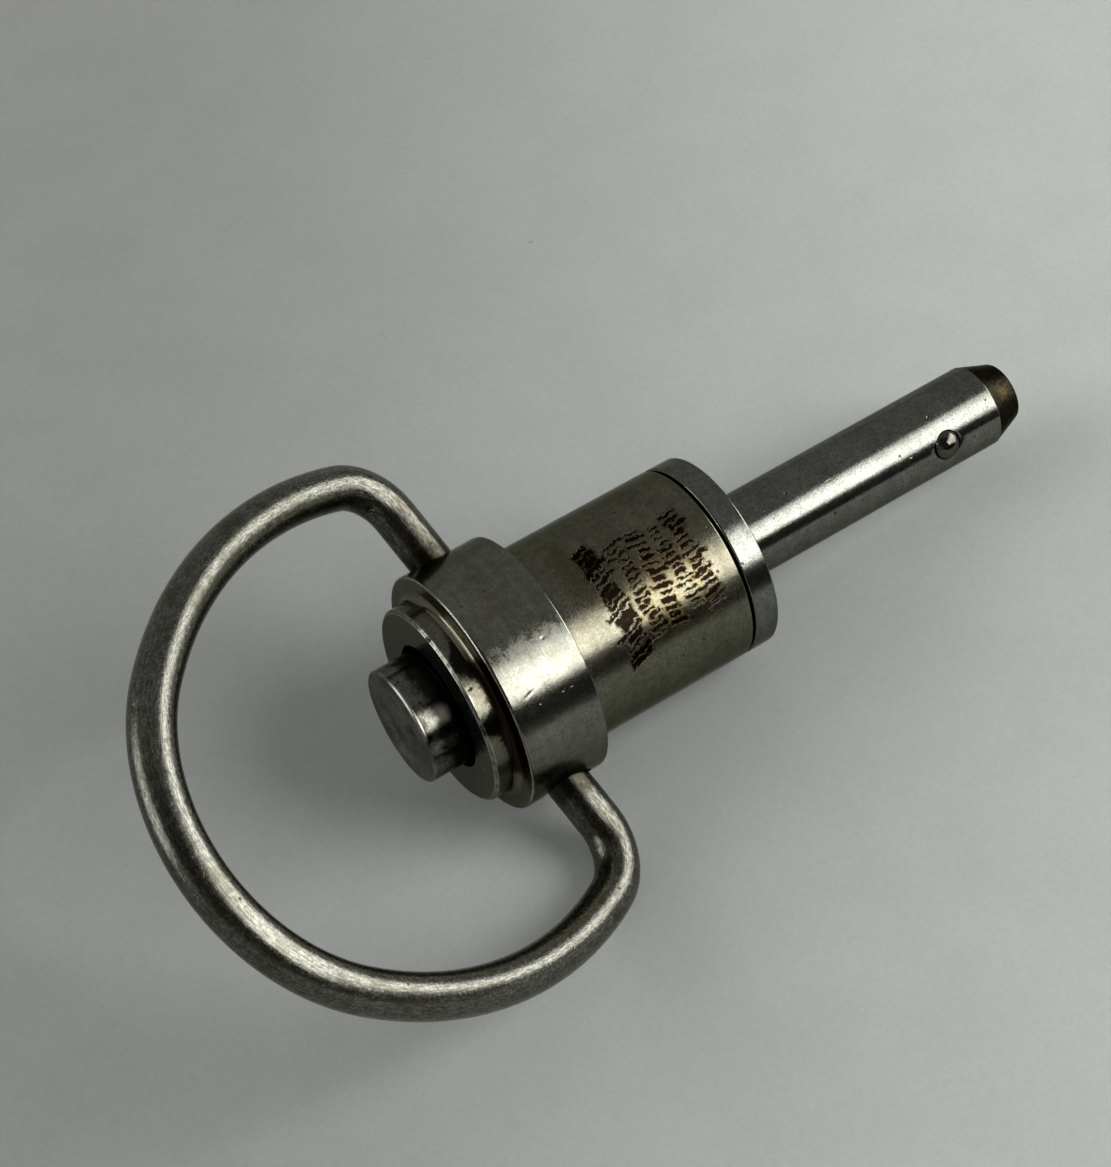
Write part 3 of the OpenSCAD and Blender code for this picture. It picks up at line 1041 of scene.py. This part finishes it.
def ring():
    """The wire ring: one round wire, swept, with flat ends and the bender's marks."""
    sides = 56
    spacing = 0.25
    turns = [360 * i / sides for i in range(sides)]
    made = bmesh.new()
    layer = made.loops.layers.uv.new("turning")
    line = wire_line(spacing)
    rings = []
    lengths = [0]
    for (one, _), (two, _) in zip(line, line[1:]):
        lengths.append(lengths[-1] + (two - one).length)
    for at, heading in line:
        rings.append([made.verts.new(on_wire(at, heading, turn)) for turn in turns])
    for k in range(len(rings) - 1):
        for i in range(sides):
            j = (i + 1) % sides
            face = made.faces.new((rings[k][i], rings[k + 1][i], rings[k + 1][j], rings[k][j]))
            for corner, (kk, ii) in zip(face.loops, ((k, i), (k + 1, i), (k + 1, i + 1), (k, i + 1))):
                corner[layer].uv = (lengths[kk] / UV_LENGTH, ii / sides)
    for loop in (rings[0], rings[-1]):
        made.faces.new(loop)
    bmesh.ops.recalc_face_normals(made, faces=made.faces)
    for length, turn, width, depth, long, lean in TOOL_MARKS:
        k = min(range(len(lengths)), key=lambda i: abs(lengths[i] - length))
        strike(made, on_wire(*line[k], turn), width, depth, long, lean)
    made.transform(ring_frame().to_4x4())
    made.transform(Matrix.Translation((HINGE_X, 0, 0)))
    mesh = mesh_of(made, "ring_wire")
    piece = in_scene("ring_wire", mesh)
    mesh.set_sharp_from_angle(angle=math.radians(45))
    mesh.transform(LAID_DOWN)
    mesh.materials.append(RING_WIRE)
    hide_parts("ring_handle")
    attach(piece, "ring")


def ball(name, node, body, turn):
    """A locking ball in its pocket, at a turn round the shank."""
    made = bmesh.new()
    bmesh.ops.create_icosphere(made, subdivisions=5, radius=BALL_R)
    made.transform(Matrix.Translation(around(BALL_X, turn, BALL_CENTRE)))
    mesh = mesh_of(made, name)
    mesh.shade_smooth()
    mesh.transform(LAID_DOWN)
    mesh.materials.append(BALL_STEEL)
    piece = in_scene(name, mesh)
    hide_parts(node)
    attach(piece, body)


shank()
barrel()
collar()
button()
ring()
ball("near_ball", "lock_ball_near", "near_ball", BALL_TURN)
ball("far_ball", "lock_ball_far", "far_ball", BALL_TURN + 180)
for node_name, finish in (("spindle", SPINDLE_STEEL), ("cross_pin", SPINDLE_STEEL),
                          ("return_spring", SPRING_WIRE)):
    for material_slot in frame["nodes"][node_name].material_slots:
        material_slot.material = finish


# == The table and the light ==
def towards(azimuth, height):
    """A direction: azimuth 0 is +Y and 90 is +X, height is above the table, in degrees."""
    a = math.radians(azimuth)
    h = math.radians(height)
    return Vector((math.sin(a) * math.cos(h), math.cos(a) * math.cos(h), math.sin(h)))


PIN_MIDDLE = Vector((-0.012, -0.003, 0.004))
WINDOW_DISTANCE = 0.35
PANE_GAP = 0.004
CAMERA_AZIMUTH = -22.9215
CAMERA_HEIGHT = 52.7202
CAMERA_ROLL = -13.9857


def rolled(facing, roll):
    """Turns a thing to face a direction, and then by roll degrees in its own plane."""
    upright = facing.to_track_quat("Z", "Y").to_matrix().to_4x4()
    return upright @ Matrix.Rotation(math.radians(roll), 4, "Z")


def table_top():
    """The matt table, with painted light: its colour grows lighter towards the window, standing
    for the window's falloff, with a fine paper grain and a little dust."""
    half_size = 3
    painted_light_side = (0.84, -0.54, 0)
    made = bmesh.new()
    bmesh.ops.create_grid(made, x_segments=4, y_segments=4, size=half_size)
    made.transform(Matrix.Translation((0, 0, cad_low.z)))
    mesh = mesh_of(made, "table")
    top = in_scene("table", mesh)
    material, tree, shader = blank_material("pale table", "ShaderNodeBsdfPrincipled")
    coordinates = add(tree, "ShaderNodeTexCoord").outputs["Object"]
    # painted light: the colour grows lighter towards the window, as its light would fall off
    share = grade(dot(coordinates, painted_light_side), -0.055, 0.045)
    colour = tint(share, (0.262, 0.272, 0.262), (0.50, 0.525, 0.505))
    point = times(coordinates, (1 / MM, 1 / MM, 1 / MM))
    paper = cloudy(point, 2.4, 4, 0.85)
    patches = cloudy(point, 0.12, 3, 0.6)
    shade = product(grade(paper, 0.25, 0.75, 0.95, 1.05), vary(patches, 0.98, 1.02))
    dust = place(PITS, Point=point, Scale=0.13, Size=0.035, Share=0.35)["Mask"]
    colour = tint(product(dust, 0.35), shaded(colour, shade), (0.16, 0.16, 0.15))
    feed(shader.inputs["Base Color"], colour)
    shader.inputs["Roughness"].default_value = 0.7
    shader.inputs["Specular IOR Level"].default_value = 0
    mesh.materials.append(material)


def card(name, middle, facing, width, height, colour, fades, roll=0):
    """A glowing card seen only in the steel, turned by roll degrees in its own plane. Its
    strength is the sum of its fades. A fade goes up the card from low to high, as shares of
    its height from the middle, and from one strength to the other."""
    made = bmesh.new()
    bmesh.ops.create_grid(made, x_segments=1, y_segments=1, size=0.5)
    made.transform(Matrix.Diagonal((width, height, 1, 1)))
    mesh = mesh_of(made, name)
    sheet = in_scene(name, mesh)
    sheet.matrix_world = Matrix.Translation(middle) @ rolled(facing, roll)
    material, tree, glow = blank_material(name + " glow", "ShaderNodeEmission")
    glow.inputs["Color"].default_value = (*colour, 1)
    _, up, _ = parted(add(tree, "ShaderNodeTexCoord").outputs["Object"])
    rise = sums("DIVIDE", up, height)
    strength = total(0.0, *[grade(rise, *fade) for fade in fades])
    feed(glow.inputs["Strength"], strength)
    mesh.materials.append(material)
    sheet.visible_camera = False
    sheet.visible_diffuse = False
    sheet.visible_shadow = False


def window():
    """The big soft window that the steel mirrors, brightest low down, with its lower pane
    reaching down to the table on the ring's side."""
    facing = towards(122.5, 31.2)
    roll = -17
    glow = 6.8
    colour = (1.0, 1.0, 0.97)
    fades = [(-0.51, -0.27, 0.3, glow), (0.05, 0.5, 0, -0.6 * glow)]
    card("window", PIN_MIDDLE + facing * WINDOW_DISTANCE, facing, width=0.54, height=0.25,
         colour=colour, fades=fades, roll=roll)
    lower = rolled(facing, roll) @ Vector((0.09, -0.165, WINDOW_DISTANCE - PANE_GAP))
    card("lower pane", PIN_MIDDLE + lower, facing, width=0.36, height=0.19, colour=colour,
         fades=[(-0.5, -0.3, 0.25 * glow, 0.7 * glow)], roll=roll)


def far_window():
    """A fainter window on the far side of the room."""
    facing = towards(-67, 24)
    card("far window", PIN_MIDDLE + facing * WINDOW_DISTANCE, facing, width=0.27, height=0.2,
         colour=(0.95, 1.0, 0.97), fades=[(0.05, 0.5, 2.9, 2.6)])


def dark_board():
    """A dark board beside the table, low down on the near side. The steel mirrors it."""
    middle = Vector((0.017, -0.056, cad_low.z + 0.0142))
    card("dark board", middle, towards(166, 0), width=0.11, height=0.0304,
         colour=(0.1, 0.1, 0.09), fades=[(-0.5, -0.1, 1.5, 0.35), (0.28, 0.5, 0, 1.2)],
         roll=-14.8)


def soft_sun(name, energy, spread, azimuth, height):
    """Even soft daylight on the table from one side. The steel mirrors the cards instead."""
    lamp = bpy.data.lights.new(name, "SUN")
    lamp.energy = energy
    lamp.angle = math.radians(spread)
    lamp.color = (1.0, 1.0, 0.985)
    holder = in_scene(name, lamp)
    holder.rotation_mode = "QUATERNION"
    holder.rotation_quaternion = towards(azimuth, height).to_track_quat("Z", "Y")
    holder.visible_glossy = False


def room():
    """The dim grey room. It is darker low down on the near side, and darkest behind the
    camera, where the one who holds it stands."""
    world = bpy.data.worlds.new("room")
    bpy.context.scene.world = world
    world.use_nodes = True
    tree = world.node_tree
    tree.nodes.clear()
    direction = add(tree, "ShaderNodeTexCoord").outputs["Generated"]
    colour = (0.27, 0.277, 0.266)
    holder = towards(180 - CAMERA_AZIMUTH, CAMERA_HEIGHT)
    for middle, wide, narrow, shade in ((towards(168, 4), 42, 14, (0.09, 0.09, 0.085)),
                                        (holder, 47, 30, (0.075, 0.065, 0.055))):
        share = grade(dot(direction, middle), math.cos(math.radians(wide)),
                      math.cos(math.radians(narrow)))
        colour = tint(share, colour, shade)
    background = add(tree, "ShaderNodeBackground")
    feed(background.inputs["Color"], colour)
    feed(add(tree, "ShaderNodeOutputWorld").inputs["Surface"], background.outputs[0])


def camera():
    """The camera looks down on the pin with a slight roll."""
    lens = bpy.data.cameras.new("camera")
    lens.sensor_width = 36
    lens.lens = 84.71
    lens.clip_start = 0.01
    holder = in_scene("camera", lens)
    back = -towards(-CAMERA_AZIMUTH, -CAMERA_HEIGHT)
    held_at = Vector((-56.949, -104.501, 156.357)) * MM
    holder.matrix_world = Matrix.Translation(held_at) @ rolled(back, CAMERA_ROLL)
    bpy.context.scene.camera = holder


table_top()
window()
far_window()
dark_board()
soft_sun("window light", 2.55, 36, 132, 36)
soft_sun("far light", 1.6, 50, -58, 24)
soft_sun("ceiling light", 0.35, 120, 60, 80)
room()
camera()
bpy.context.scene.view_settings.view_transform = "Standard"
